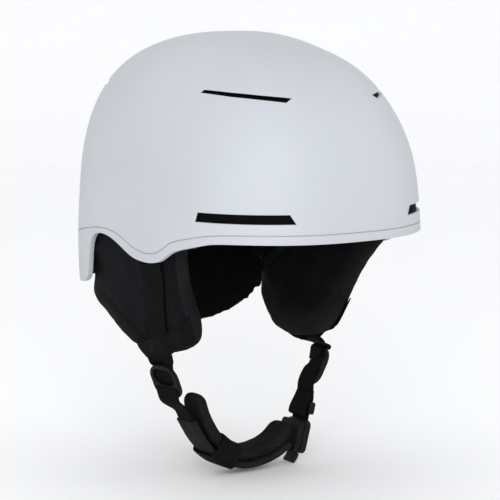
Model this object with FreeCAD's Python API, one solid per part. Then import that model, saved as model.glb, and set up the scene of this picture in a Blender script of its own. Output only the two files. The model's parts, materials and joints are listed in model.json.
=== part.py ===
import FreeCAD, Part
import math
import os

# Ski helmet, size M.  Millimetres.  +X is the wearer's left, -Y the front, +Z up.
# The origin is the centre of the head opening, on the plane of the front brim.
# Paired pieces are built on the left side and mirrored for the right.

V = FreeCAD.Vector

# ---- shell -------------------------------------------------------------------
HALF_WIDTH = 111.5        # half width over the ears
POLE_Z = -60.0            # height of the ear-to-ear axis that the shell is drawn about, below the rim
# distance of the shell's middle line from that axis, by angle (0 front, 90 crown, 180 rear)
MIDLINE = [(-90, 118.0), (-20, 122.0), (0, 132.3), (20, 146.8), (35, 164.0), (50, 190.0), (65, 203.8),
           (80, 206.2), (95, 211.5), (110, 217.0), (118, 217.5), (126, 210.5), (133, 194.5), (141, 176.5),
           (155, 153.8), (170, 138.9), (185, 127.6), (205, 120.0), (270, 118.0)]
FRONT_FULLNESS = 2.48     # exponent of the shell's section, 2 is an ellipse
REAR_FULLNESS = 3.1
SHELL_WALL = 2.2
BOND_GAP = 0.2
FOAM_DEPTH = 25.0         # shell surface to the inner face of the foam
SHADOW_GAP = 0.7          # groove between the shell and the rim moulding

# lower edge of the rim and the parting line above it, as (forward, up)
RIM_EDGE = [(165, 2.5), (130, 2.5), (100, 2.5), (84, 1.5), (64, -3), (47, -8.5), (36, -15), (27, -17),
            (15, -17), (4, -15.5), (-13, -9.3), (-26, -4.5), (-37, -2.2), (-48, -2.2), (-57, -5.0),
            (-62, -11), (-64.5, -20), (-66, -32), (-69, -39), (-75, -42.5), (-110, -42.5), (-165, -42.5)]
PARTING = [(165, 8.8), (130, 8.8), (100, 8.6), (84, 7.4), (64, 3.6), (47, -1.5), (36, -8), (26, -10.5),
           (14, -10.4), (2, -8), (-14, -2.2), (-28, 1.2), (-42, 2.0), (-56, 1.0), (-78, -2.5),
           (-100, -7), (-130, -12), (-165, -16)]

# ---- ear pads ------------------------------------------------------------------
PAD_THICK = 17.0
PAD_LEAN = 0.32           # how far the pad leans in for each mm down
PAD_DATUM_Z = -20.0       # height at which PAD_PLAN holds
PAD_PLAN = [(46, 88.0), (30, 93.3), (10, 97.0), (-15, 100.5),
            (-40, 102.3), (-60, 102.0), (-80, 98.0), (-100, 89.5)]
PAD_OUTLINE = [(42, 2), (39.5, -14), (34.5, -30), (31, -46), (29.5, -62), (28.5, -76), (24, -86),
               (12, -91), (-6, -94), (-26, -94.5), (-42, -91), (-55, -84.5), (-70, -77), (-82, -69.5), (-88, -61),
               (-91, -52), (-90, -40), (-88, -28), (-86, -12), (-84, 2)]
PAD_FOLD_Z = -26.0        # the free part of the pad hangs from this height
PAD_FOLD_REAR = -58.0     # behind this the pad is tucked inside the nape of the shell
GAP = 0.3                 # clearance between pieces that move against each other

# ---- webbing, dividers and buckle ------------------------------------------------
WEB_WIDTH = 20.0
WEB_THICK = 2.0
STRAP_Y = 13.0                      # plane that the chin strap hangs in
# centre of each strap divider, as (out from the middle plane, height); the buckle side hangs lower
DIVIDER_PLACES = {"left": (75.0, -120.5), "right": (71.0, -117.0)}
DIVIDER_LEAN = 25.0                 # degrees that the dividers lean in towards the chin
DIVIDER_TURN = 14.0                 # degrees that they face forwards
DIVIDER_WIDTH = 27.0
DIVIDER_HEIGHT = 31.0
DIVIDER_THICK = 3.5
BUCKLE_X = 51.5                     # middle of the flat face where the two halves meet
BUCKLE_Z = -174.5
BUCKLE_LEAN = 15.0                  # degrees that this face looks down from straight left
BUCKLE_WIDTH = 24.0
BUCKLE_LENGTH = 27.0
BUCKLE_HALF = 5.6                   # thickness of each half

# ---- fit system --------------------------------------------------------------------
DIAL_Z = -60.0
CRADLE_TRAVEL = 5.0                 # each way, in height
PINION_RADIUS = 5.0
RACK_HEIGHT = 4.7
BAND_THICK = 1.6


def smooth(points, closed=False):
    """Spline curve through points."""
    curve = Part.BSplineCurve()
    curve.interpolate(Points=points, PeriodicFlag=closed)
    return curve


def midline_radius(angle):
    """Catmull-Rom value of MIDLINE at an angle in degrees, -90 to 270."""
    index = max(i for i in range(len(MIDLINE) - 1) if MIDLINE[i][0] <= angle + 1e-9)
    a0, r0 = MIDLINE[index]
    a1, r1 = MIDLINE[index + 1]
    before = MIDLINE[index - 1] if index else (MIDLINE[-2][0] - 360.0, MIDLINE[-2][1])
    after = MIDLINE[index + 2] if index + 2 < len(MIDLINE) else (MIDLINE[1][0] + 360.0, MIDLINE[1][1])
    span = a1 - a0
    m0 = (r1 - before[1]) / (a1 - before[0]) * span
    m1 = (after[1] - r0) / (after[0] - a0) * span
    t = (angle - a0) / span
    return ((2 * t ** 3 - 3 * t ** 2 + 1) * r0 + (t ** 3 - 2 * t ** 2 + t) * m0
            + (-2 * t ** 3 + 3 * t ** 2) * r1 + (t ** 3 - t ** 2) * m1)


def skin(inset):
    """Closed solid bounded by the shell surface moved inwards by inset."""
    columns = 36
    rows = 24
    reach = math.radians(88.0)
    grid = []
    for i in range(rows + 1):
        side = math.sin(reach * (2.0 * i / rows - 1.0))
        ring = []
        for j in range(columns + 1):
            angle = -90.0 + 360.0 * j / columns
            turn = math.radians(angle)
            rearward = (1.0 - math.cos(min(max(turn, 0.0), math.pi))) / 2.0
            if angle > 180.0:
                rearward = 1.0 - (angle - 180.0) / 90.0
            power = FRONT_FULLNESS + (REAR_FULLNESS - FRONT_FULLNESS) * rearward
            radius = (midline_radius(angle) - inset) * (1.0 - abs(side) ** power) ** (1.0 / power)
            ring.append(V((HALF_WIDTH - inset) * side,
                          -radius * math.cos(turn), POLE_Z + radius * math.sin(turn)))
        grid.append(ring)
    surface = Part.BSplineSurface()
    surface.interpolate(grid)
    faces = []
    ends = {grid[0][0].x: [], grid[-1][0].x: []}
    patches_across, patches_around = 4, 8
    for i in range(patches_across):
        for j in range(patches_around):
            patch = surface.copy()
            patch.segment(i / patches_across, (i + 1) / patches_across,
                          j / patches_around, (j + 1) / patches_around)
            face = patch.toShape()
            faces.append(face)
            for x, edges in ends.items():
                edges += [e for e in face.Edges
                          if max(abs(e.BoundBox.XMin - x), abs(e.BoundBox.XMax - x)) < 0.01]
    faces += [Part.Face(Part.Wire(Part.__sortEdges__(edges))) for edges in ends.values()]
    shell = Part.makeShell(faces)
    shell.sewShape()
    solid = Part.makeSolid(Part.Shell(shell.Faces))
    if solid.Volume < 0:
        solid.reverse()
    return solid


def side_prism(outline, x_low=-150.0, x_high=150.0):
    """Prism along X of a closed (forward, up) outline, smooth but for the straight closing side."""
    points = [V(x_low, -forward, up) for forward, up in outline]
    edges = [smooth(points).toShape(), Part.LineSegment(points[-1], points[0]).toShape()]
    return Part.Face(Part.Wire(edges)).extrude(V(x_high - x_low, 0, 0))


def polygon_prism(points, direction):
    """Prism of a closed straight-sided outline."""
    return Part.Face(Part.makePolygon(points + [points[0]])).extrude(direction)


def moved_out(curve, distance):
    """Front-to-rear (forward, up) curve, each point moved square to the curve, upwards or rearwards."""
    moved = []
    for index, (forward, up) in enumerate(curve):
        ahead = curve[max(index - 1, 0)]
        behind = curve[min(index + 1, len(curve) - 1)]
        run, rise = behind[0] - ahead[0], behind[1] - ahead[1]
        length = math.hypot(run, rise)
        moved.append((forward + distance * rise / length, up - distance * run / length))
    return moved


def space_below(curve, lift=0.0):
    """Everything under a smooth (forward, up) curve that is first moved out by lift."""
    x_low = -150.0
    points = [V(x_low, -forward, up) for forward, up in moved_out(curve, lift)]
    floor = -260.0
    front_low = V(x_low, points[0].y, floor)
    rear_low = V(x_low, points[-1].y, floor)
    edges = [smooth(points).toShape(),
             Part.LineSegment(points[-1], rear_low).toShape(),
             Part.LineSegment(rear_low, front_low).toShape(),
             Part.LineSegment(front_low, points[0]).toShape()]
    return Part.Face(Part.Wire(edges)).extrude(V(-2 * x_low, 0, 0))


def box(x0, x1, y0, y1, z0, z1):
    return Part.makeBox(x1 - x0, y1 - y0, z1 - z0, V(x0, y0, z0))


def disc(centre, axis, radius, length):
    """Cylinder centred on a point."""
    start = centre - V(axis).normalize() * (length / 2)
    return Part.makeCylinder(radius, length, start, axis)


def ribbon(path, across, width=WEB_WIDTH, thick=WEB_THICK):
    """Flat strap that follows a path; across is roughly the direction of its width."""
    sections = []
    for index, point in enumerate(path):
        ahead = path[min(index + 1, len(path) - 1)]
        behind = path[max(index - 1, 0)]
        tangent = (ahead - behind).normalize()
        side = (across - tangent * across.dot(tangent)).normalize() * (width / 2)
        rise = tangent.cross(side).normalize() * (thick / 2)
        corners = [point + side + rise, point + side - rise, point - side - rise, point - side + rise]
        sections.append(Part.makePolygon(corners + [corners[0]]))
    return Part.makeLoft(sections, True, True)


def stretched(path):
    """A path with its two ends drawn out a little."""
    first = path[0] + (path[0] - path[1]).normalize() * 2.0
    last = path[-1] + (path[-1] - path[-2]).normalize() * 2.0
    return [first] + path[1:-1] + [last]


def strap_point(x, z):
    """Point on the plane of the chin strap."""
    return V(x, STRAP_Y, z)


def rounded(shape, radius, axis):
    """Fillet the edges of a block that run along an axis."""
    edges = [e for e in shape.Edges
             if abs(abs((e.Vertexes[-1].Point - e.Vertexes[0].Point).normalize().dot(axis)) - 1.0) < 1e-6]
    return shape.makeFillet(radius, edges)


def leaning_block(x, z, lean, across, length, width, low, high, radius):
    """Block on a plane whose normal leans down from +X; low and high are along that normal."""
    block = box(low, high, -width / 2, width / 2, -length / 2, length / 2)
    block = rounded(block, radius, V(1, 0, 0))
    block.rotate(V(0, 0, 0), V(0, 1, 0), lean)
    block.translate(V(x, across, z))
    return block


def mirrored(shape):
    return shape.mirror(V(0, 0, 0), V(1, 0, 0))


def mirrored_point(point):
    return V(-point.x, point.y, point.z)


def largest_solid(shape):
    return max(shape.Solids, key=lambda s: s.Volume)


def save(name, shape):
    if shape.ShapeType == "Compound" and len(shape.Solids) == 1:
        shape = shape.Solids[0]
    volumes = [s.Volume for s in shape.Solids]
    if not shape.isValid() or not volumes or min(volumes) <= 0:
        raise ValueError(f"{name} is not a sound solid")
    shape.exportStep(f"parts/{name}.step")


def save_side(name, side, left):
    """Save one of a pair, given as drawn on the left."""
    save(f"{name}_{side}", left if side == "left" else mirrored(left))


def save_pair(name, left):
    for side in ("left", "right"):
        save_side(name, side, left)


# ---- shell, rim and foam ---------------------------------------------------------------
# A vent is (middle, direction of its length, direction it is cut along, outline), left side.
# The outline is (along, up) from the middle.
VENT_FRONT = (V(77.5, -101.0, 20.6), V(-0.66, -0.75, 0.0), V(0.75, -0.66, 0.0),
              [(-35.5, 3.6), (33.0, 3.6), (37.5, -3.4), (-37.5, -3.4)])
VENT_UPPER = (V(62.3, -81.1, 107.3), V(-0.80, -0.59, -0.12), V(0.58, -0.81, 0.12),
              [(-33.5, -0.5), (-31.0, 2.0), (-11.0, 1.4), (11.0, 1.4), (33.0, 2.0),
               (29.5, -1.9), (11.0, -2.0), (-11.0, -1.9)])
VENT_REAR = (V(52.0, 104.0, 98.0), V(-0.62, 0.77, -0.12), V(0.44, 0.58, 0.68),
             [(-27.0, 2.6), (25.0, 2.6), (29.0, -2.4), (-27.0, -2.4), (-31.0, 0.0)])
VENTS = {"vent_front": VENT_FRONT, "vent_upper": VENT_UPPER, "vent_rear": VENT_REAR}
VENT_RECESS = 2.6         # how far the insert lies under the shell surface
VENT_INSERT_DEPTH = 6.0
VENT_LIP = 2.0            # how far the insert reaches past the slot


def vent_cutter(vent, grow=0.0, depth=70.0):
    """Prism through the wall at a vent, its outline widened by grow."""
    middle, along, out, outline = vent
    out = V(out).normalize()
    up = out.cross(V(along)).normalize()
    if up.z < 0:
        up = up * -1.0
    along = up.cross(out).normalize()
    if along.y * V(vent[1]).y < 0:
        along = along * -1.0
    points = []
    for a, b in outline:
        a_grown = a + math.copysign(grow, a)
        b_grown = b + math.copysign(grow, b) if b else 0.0
        points.append(middle + along * a_grown + up * b_grown - out * (depth / 2))
    return polygon_prism(points, out * depth)


def make_shell_and_foam():
    outside = skin(0.0)
    wall_inside = skin(SHELL_WALL)
    below_parting = space_below(PARTING)
    below_shell = space_below(PARTING, SHADOW_GAP)
    below_edge = space_below(RIM_EDGE)
    rim_floor = 2.0
    rim_lip = 4.0
    groove_depth = 0.9

    shell = outside.cut(wall_inside).cut(below_shell)
    foam = skin(SHELL_WALL + BOND_GAP).cut(skin(FOAM_DEPTH)).cut(space_below(RIM_EDGE, rim_floor + GAP))
    insert_zone = skin(VENT_RECESS).cut(skin(VENT_RECESS + VENT_INSERT_DEPTH))
    for name, vent in VENTS.items():
        slot = vent_cutter(vent)
        insert_prism = vent_cutter(vent, VENT_LIP)
        channel = vent_cutter(vent, VENT_LIP + BOND_GAP, 110.0)
        shell = shell.cut([slot, mirrored(slot)])
        foam = foam.cut([channel, mirrored(channel)])
        save_pair(name + "_insert", insert_zone.common(insert_prism))

    rim = outside.common(below_parting).fuse(skin(groove_depth).common(below_shell)).cut(below_edge)
    rim = rim.cut(wall_inside.cut(space_below(RIM_EDGE, rim_floor))).cut(skin(rim_lip))

    pocket_top = 4.5
    pocket = pad_slab(6.4, -PAD_THICK - 14.0).common(box(0, 150, -46.0, 108.0, -110, pocket_top))
    pocket = pocket.common(skin(SHELL_WALL + 2.0))
    foam = foam.cut([pocket, mirrored(pocket)])
    rim = rim.cut([pocket, mirrored(pocket)])
    knob_room = box(-18, 18, 95, 125, DIAL_Z - 20, DIAL_Z + 17 + CRADLE_TRAVEL)
    foam = foam.cut(knob_room)
    save("outer_shell", shell)
    save("rim_moulding", rim)
    save("foam_liner", foam)


# ---- ear pads ------------------------------------------------------------------------------
def pad_slab(outer, inner=-PAD_THICK):
    """Leaning sheet that follows the pad's plan, between two offsets from its outer face."""
    z_low, z_high = -112.0, 14.0
    shift = PAD_LEAN * (z_low - PAD_DATUM_Z)
    outside = [V(x + outer + shift, -forward, z_low) for forward, x in PAD_PLAN]
    inside = [V(x + inner + shift, -forward, z_low) for forward, x in PAD_PLAN]
    edges = [smooth(outside).toShape(), Part.LineSegment(outside[-1], inside[-1]).toShape(),
             smooth(inside[::-1]).toShape(), Part.LineSegment(inside[0], outside[0]).toShape()]
    return Part.Face(Part.Wire(edges)).extrude(V(PAD_LEAN * (z_high - z_low), 0, z_high - z_low))


def pad_face_x(forward, z, offset=0.0):
    """X of the pad's outer face, for the straight middle of the pad."""
    for (f1, x1), (f0, x0) in zip(PAD_PLAN, PAD_PLAN[1:]):
        if f0 <= forward <= f1:
            share = (forward - f0) / (f1 - f0)
            return x0 + (x1 - x0) * share + offset + PAD_LEAN * (z - PAD_DATUM_Z)
    raise ValueError("outside the pad")


HEM_OUTLINE = [(32, -61.5), (22, -66.5), (10, -72), (-4, -77.5), (-21, -83), (-46, -86.5), (-49, -90),
               (-38, -96), (-27, -101.5), (-17, -99.5), (0, -94), (12, -88), (22, -84), (32, -80)]


def make_ear_pads():
    pad = pad_slab(0.0).common(side_prism(PAD_OUTLINE, 0, 150)).common(skin(SHELL_WALL + 2.0 + GAP))
    free_zone = box(0, 150, -60, -PAD_FOLD_REAR, -130, PAD_FOLD_Z)
    free_zone_cut = box(0, 150, -60, -PAD_FOLD_REAR - GAP, -130, PAD_FOLD_Z - GAP)
    save_pair("ear_pad_fixed", pad.cut(free_zone))
    save_pair("ear_pad_free", pad.common(free_zone_cut))

    across = V(0.165, 1, 0)       # the pad narrows forwards here
    web_gap = 0.9
    web_centre = web_gap + WEB_THICK / 2
    stations = [(12.0, -4.0), (9.0, PAD_FOLD_Z), (-6.5, -77.0), (-8.0, -96.5)]
    upper = [V(pad_face_x(f, z, web_centre), -f, z) for f, z in stations[:2]]
    strap_upper = ribbon(upper, across).common(box(0, 150, -60, 60, PAD_FOLD_Z, 20))
    save_pair("side_strap_upper", strap_upper)
    anchor_place = V(pad_face_x(11.0, -13.0, web_centre + 2.2), -11.0, -13.0)
    save_pair("strap_anchor", disc(anchor_place, V(1, -0.165, -PAD_LEAN), 5.0, 1.6))

    below_fold = [V(pad_face_x(f, z, web_centre), -f, z) for f, z in stations[1:]]
    below_fold[0] = below_fold[0] + (below_fold[1] - below_fold[0]).normalize() * (2 * GAP)
    hem_block = pad_slab(4.6, 0.15).common(side_prism(HEM_OUTLINE, 0, 150))
    for side in DIVIDER_PLACES:
        lower = below_fold + [divider_point(DIVIDER_HEIGHT / 2 + 2.3, 0.0, side)]
        strap_lower = ribbon(lower, across).common(box(0, 150, -60, 60, -130, PAD_FOLD_Z - GAP))
        channel = ribbon(lower, across, WEB_WIDTH + 0.6, WEB_THICK + 0.6)
        rear_path = [V(68.0, 29.0, -100.0), divider_point(DIVIDER_HEIGHT / 2 + 1.5, -6.8, side)]
        rear_strap = ribbon(rear_path, across, 14.0, 1.6).cut([channel, pad_slab(GAP)])
        hem = hem_block.cut([channel, ribbon(rear_path, across, 14.6, 2.2)])
        divider = divider_shape(side)
        save_side("strap_divider", side, divider)
        save_side("side_strap_lower", side, largest_solid(strap_lower.cut(divider)))
        save_side("ear_pad_hem", side, largest_solid(hem))
        save_side("rear_strap_lower", side, largest_solid(rear_strap))


# ---- dividers ----------------------------------------------------------------------------------
def divider_point(up, out, side):
    """Point of a divider, up its own height and out from its middle plane, drawn on the left."""
    x, z = DIVIDER_PLACES[side]
    lean = math.radians(DIVIDER_LEAN)
    return V(x + up * math.sin(lean) + out * math.cos(lean), STRAP_Y,
             z + up * math.cos(lean) - out * math.sin(lean))


def divider_shape(side):
    """One divider, drawn on the left."""
    half_w, half_h, half_t = DIVIDER_WIDTH / 2, DIVIDER_HEIGHT / 2, DIVIDER_THICK / 2
    wall = 3.6
    plate_top = -3.0      # the solid lower plate starts here
    plate = box(-half_t, half_t, -half_w, half_w, -half_h, half_h)
    plate = rounded(plate, half_w - 2.0, V(1, 0, 0))
    window = box(-half_t - 1, half_t + 1, -half_w + wall, half_w - wall, plate_top, half_h - wall)
    window = rounded(window, 6.0, V(1, 0, 0))
    slot = box(-half_t - 1, half_t + 1, -half_w + 5.0, half_w - 5.0, -half_h + 3.2, -half_h + 6.4)
    divider = plate.cut(window).cut(rounded(slot, 1.5, V(1, 0, 0)))
    divider.rotate(V(0, 0, 0), V(0, 1, 0), DIVIDER_LEAN)
    divider.rotate(V(0, 0, 0), V(0, 0, 1), -DIVIDER_TURN)
    x, z = DIVIDER_PLACES[side]
    divider.translate(V(x, STRAP_Y, z))
    return divider


# ---- chin strap and buckle ------------------------------------------------------------------------
def make_chin_strap():
    across = V(0, 1, 0)
    start = mirrored_point(divider_point(-DIVIDER_HEIGHT / 2 - 1.3, 0.0, "right"))
    webbing = [start, strap_point(-57.5, -140.5), strap_point(-52.0, -150.0)]
    save("chin_webbing", ribbon(webbing, across))
    sleeve = [(-51.6, -150.8), (-42.0, -166.0), (-31.0, -178.0), (-18.0, -186.3),
              (-3.0, -190.6), (13.0, -190.0), (28.0, -186.0), (40.5, -179.5)]
    save("chin_strap_sleeve", ribbon([strap_point(x, z) for x, z in sleeve], across, 24.0, 6.5))
    pad = [(-43.8, -129.0), (-41.5, -142.0), (-34.8, -158.0), (-24.8, -171.0),
           (-14.0, -178.2), (-1.8, -181.8), (11.6, -181.2), (24.6, -177.9), (33.0, -171.5), (37.5, -163.5)]
    save("chin_pad", ribbon([strap_point(x, z) for x, z in pad], across, 26.5, 8.5))
    keeper_path = [strap_point(-28.7, -172.8), strap_point(-21.9, -177.8), strap_point(-13.6, -182.0)]
    keeper_hole = ribbon(stretched(keeper_path), across, 28.6, 19.0)
    save("strap_keeper", ribbon(keeper_path, across, 31.4, 21.8).cut(keeper_hole))

    shrink = 0.15
    base = leaning_block(BUCKLE_X, BUCKLE_Z, BUCKLE_LEAN, STRAP_Y, BUCKLE_LENGTH - 2, BUCKLE_WIDTH,
                         -BUCKLE_HALF, -shrink, 4.0)
    cap = leaning_block(BUCKLE_X, BUCKLE_Z, BUCKLE_LEAN, STRAP_Y, BUCKLE_LENGTH, BUCKLE_WIDTH + 1,
                        shrink, BUCKLE_HALF, 5.0)
    lean = math.radians(BUCKLE_LEAN)
    normal = V(math.cos(lean), 0, -math.sin(lean))
    middle = strap_point(BUCKLE_X, BUCKLE_Z)
    magnet_radius, magnet_depth, magnet_wall = 5.0, 2.4, 0.8
    magnet_shift = normal * (shrink + magnet_wall + magnet_depth / 2)
    base_magnet = disc(middle - magnet_shift, normal, magnet_radius, magnet_depth)
    cap_magnet = disc(middle + magnet_shift, normal, magnet_radius, magnet_depth)
    save("buckle_base", base.cut(base_magnet))
    save("buckle_cap", cap.cut(cap_magnet))
    save("buckle_base_magnet", base_magnet)
    save("buckle_cap_magnet", cap_magnet)
    down = V(-math.sin(lean), 0, -math.cos(lean))
    tab_top = middle + normal * 3.4 + down * (BUCKLE_LENGTH / 2 + 0.4)
    tab_path = [tab_top, tab_top + down * 4.0 - normal * 0.8, tab_top + down * 8.0 - normal * 3.0]
    save("buckle_pull_tab", ribbon(tab_path, across, 14.0, 2.2))

    strap_low = middle + normal * 3.2 - down * (BUCKLE_LENGTH / 2 + 0.5)
    strap_top = divider_point(-DIVIDER_HEIGHT / 2 - 0.8, 0.0, "left")
    strap = [strap_top, strap_point(63.5, -146.0), strap_point(60.5, -153.0), strap_low]
    save("buckle_strap", ribbon(strap, across))
    slider = leaning_block(60.6, -152.4, 14.0, STRAP_Y, 10.0, WEB_WIDTH + 4.5, -2.3, 3.0, 2.0)
    save("strap_slider", slider.cut(ribbon(strap, across, WEB_WIDTH + 0.8, WEB_THICK + 0.8)))


# ---- comfort pads --------------------------------------------------------------------------------
def make_comfort_pads():
    clearance = 0.4
    crown = skin(FOAM_DEPTH + clearance).cut(skin(FOAM_DEPTH + 7.0))
    brow = skin(FOAM_DEPTH + clearance).cut(skin(FOAM_DEPTH + 9.0))
    save("brow_pad", brow.common(box(-75, 75, -150, -45, 7, 36)))
    save("crown_pad_middle", crown.common(box(-21, 21, -78, 84, 60, 140)))
    save_pair("crown_pad_side", crown.common(box(32, 84, -62, 66, 48, 140)))


# ---- fit system ----------------------------------------------------------------------------------
def oval_band(depth, half_width, thick, z_low, z_high):
    """Upright oval tube about the head, rear half only."""
    power = 2.2
    outer, inner = [], []
    steps = 18
    for i in range(steps + 1):
        turn = math.radians(-25.0 + 230.0 * i / steps)
        c, s = math.cos(turn), math.sin(turn)
        reach = (abs(c) ** power + abs(s) ** power) ** (-1.0 / power)
        outer.append(V(half_width * c * reach, depth * s * reach, z_low))
        inner.append(V((half_width - thick) * c * reach, (depth - thick) * s * reach, z_low))
    edges = [smooth(outer).toShape(), Part.LineSegment(outer[-1], inner[-1]).toShape(),
             smooth(inner[::-1]).toShape(), Part.LineSegment(inner[0], outer[0]).toShape()]
    return Part.Face(Part.Wire(edges)).extrude(V(0, 0, z_high - z_low))


def rear_prism(outline):
    """Prism along Y of a smooth (x, z) outline on the rear half, mirrored about the middle plane."""
    points = [V(x, 0, z) for x, z in outline]
    points += [V(-x, 0, z) for x, z in reversed(outline[:-1])]
    edges = [smooth(points).toShape(), Part.LineSegment(points[-1], points[0]).toShape()]
    return Part.Face(Part.Wire(edges)).extrude(V(0, 140, 0))


def make_fit_system():
    nape_outline = [(46, -24), (51, -40), (50, -58), (42, -74), (26, -85), (0, -90)]
    save("nape_pad", oval_band(98.2, 66.0, 7.0, -95, -10).common(rear_prism(nape_outline)))
    cradle = oval_band(101.0, 68.5, 2.5, -95, -10)
    frame = cradle.common(rear_prism([(40, -30), (43, -46), (38, -64), (22, -78), (0, -83)]))
    stem_y = 98.5
    stem = box(-8, 8, stem_y, stem_y + 2.5, -45, 14)
    windows = [box(x, x + 7, 60, 110, -62, -38) for x in (26.0, -33.0)]
    for window in windows:
        frame = frame.cut(rounded(window, 3.0, V(0, 1, 0)))
    save("cradle_frame", frame.fuse(stem))

    guide = box(-12, 12, stem_y + 2.5 + GAP, 130, -8, 20).common(skin(FOAM_DEPTH + 0.05))
    rails = [box(x, x + 3.6, stem_y, stem_y + 2.5 + GAP, -8, 20) for x in (8.0 + GAP, -8.0 - GAP - 3.6)]
    save("cradle_guide", guide.fuse(rails))

    rack_y = 101.8
    band_zone = oval_band(107.5, 76.0, BAND_THICK, -75, 40)
    upper = [(-112, -53), (-84, -49), (-62, -34), (-44, -9), (-22, 12), (0, 22), (26, 24)]
    lower = [(26, 0), (0, 1), (-26, -9), (-50, -30), (-70, -50), (-86, -63), (-112, -67)]
    x_low = 25.0
    top_points = [V(x_low, -forward, up) for forward, up in upper]
    low_points = [V(x_low, -forward, up) for forward, up in lower]
    edges = [smooth(top_points).toShape(), Part.LineSegment(top_points[-1], low_points[0]).toShape(),
             smooth(low_points).toShape(), Part.LineSegment(low_points[-1], top_points[0]).toShape()]
    strip = Part.Face(Part.Wire(edges)).extrude(V(80, 0, 0))
    peg_y, peg_z, peg_radius = -16.0, 12.0, 2.4
    slot_half = peg_radius + 0.5
    slot = box(50, 110, peg_y - slot_half, peg_y + slot_half,
               peg_z - CRADLE_TRAVEL - slot_half, peg_z + CRADLE_TRAVEL + slot_half)
    band = band_zone.common(strip).cut(rounded(slot, slot_half - 0.1, V(1, 0, 0)))
    rack_low = DIAL_Z + PINION_RADIUS + GAP
    rack_left = box(-12, 29, rack_y, rack_y + 1.8, rack_low, rack_low + RACK_HEIGHT)
    rack_right_high = DIAL_Z - PINION_RADIUS - GAP
    rack_right = box(-29, 12, rack_y, rack_y + 1.8, rack_right_high - RACK_HEIGHT, rack_right_high)
    save("fit_band_left", band.fuse(rack_left))
    save("fit_band_right", mirrored(band).fuse(rack_right))
    peg = disc(V(80, peg_y, peg_z), V(1, 0, 0), peg_radius, 28.0).common(skin(FOAM_DEPTH + 0.05))
    save_pair("temple_peg", peg)

    cover_y = rack_y + 1.8 + GAP + 0.2
    cover = box(-22, 22, cover_y, cover_y + 2.4, DIAL_Z - 14, DIAL_Z + 14)
    cover = rounded(cover, 6.0, V(0, 1, 0))
    walls = [box(-14, 14, rack_y - 0.4, cover_y, z, z + 1.8) for z in (DIAL_Z - 12.6, DIAL_Z + 10.8)]
    bore = disc(V(0, cover_y, DIAL_Z), V(0, 1, 0), 3.3, 20.0)
    save("dial_housing", cover.fuse(walls).cut(bore))
    knob_y = cover_y + 2.4 + 0.4
    pinion = disc(V(0, rack_y + 0.9, DIAL_Z), V(0, 1, 0), PINION_RADIUS, 1.8)
    shaft_length = knob_y + 4.0 - rack_y
    shaft = disc(V(0, rack_y + shaft_length / 2, DIAL_Z), V(0, 1, 0), 3.0, shaft_length)
    save("dial_pinion", pinion.fuse(shaft))
    knob_radius, knob_depth, grips = 16.0, 8.5, 18
    knob = disc(V(0, knob_y + knob_depth / 2, DIAL_Z), V(0, 1, 0), knob_radius, knob_depth)
    grooves = []
    for i in range(grips):
        turn = 2.0 * math.pi * i / grips
        reach = knob_radius + 0.6
        spot = V(reach * math.cos(turn), knob_y + knob_depth / 2, DIAL_Z + reach * math.sin(turn))
        grooves.append(disc(spot, V(0, 1, 0), 1.5, knob_depth + 2))
    knob = knob.cut(grooves).cut(shaft)
    save("dial_knob", knob)


# ---- goggle strap retainer ------------------------------------------------------------------------
def make_goggle_retainer():
    hinge_y, hinge_z = 146.5, 30.0
    base = box(-15, 15, 120, hinge_y - 2.6, 24, 37)
    base = rounded(base, 4.0, V(0, 1, 0)).cut(skin(0.0))
    barrels = [disc(V(x, hinge_y, hinge_z), V(1, 0, 0), 2.4, 5.0) for x in (-12.0, 12.0)]
    arms = [box(x - 2.5, x + 2.5, hinge_y - 4.0, hinge_y, hinge_z - 2.4, hinge_z + 2.4)
            for x in (-12.0, 12.0)]
    save("goggle_retainer_base", largest_solid(base).fuse(barrels + arms))
    loop_barrel = disc(V(0, hinge_y, hinge_z), V(1, 0, 0), 2.4, 18.0)
    loop_arm = box(-9, 9, hinge_y + 0.6, hinge_y + 3.2, -16, hinge_z)
    save("goggle_loop", loop_barrel.fuse(loop_arm))
    stud = disc(V(0, 142.0, -9.0), V(0, 1, 0), 4.5, 16.0)
    stud = stud.cut(skin(0.0)).common(box(-20, 20, 120, hinge_y + 0.3, -40, 20))
    save("goggle_loop_stud", largest_solid(stud))


os.makedirs("parts", exist_ok=True)
make_shell_and_foam()
make_ear_pads()
make_chin_strap()
make_comfort_pads()
make_fit_system()
make_goggle_retainer()
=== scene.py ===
import json
import math

import bmesh
import bpy
import numpy as np
from mathutils import Matrix, Vector, noise
from mathutils.bvhtree import BVHTree

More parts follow.
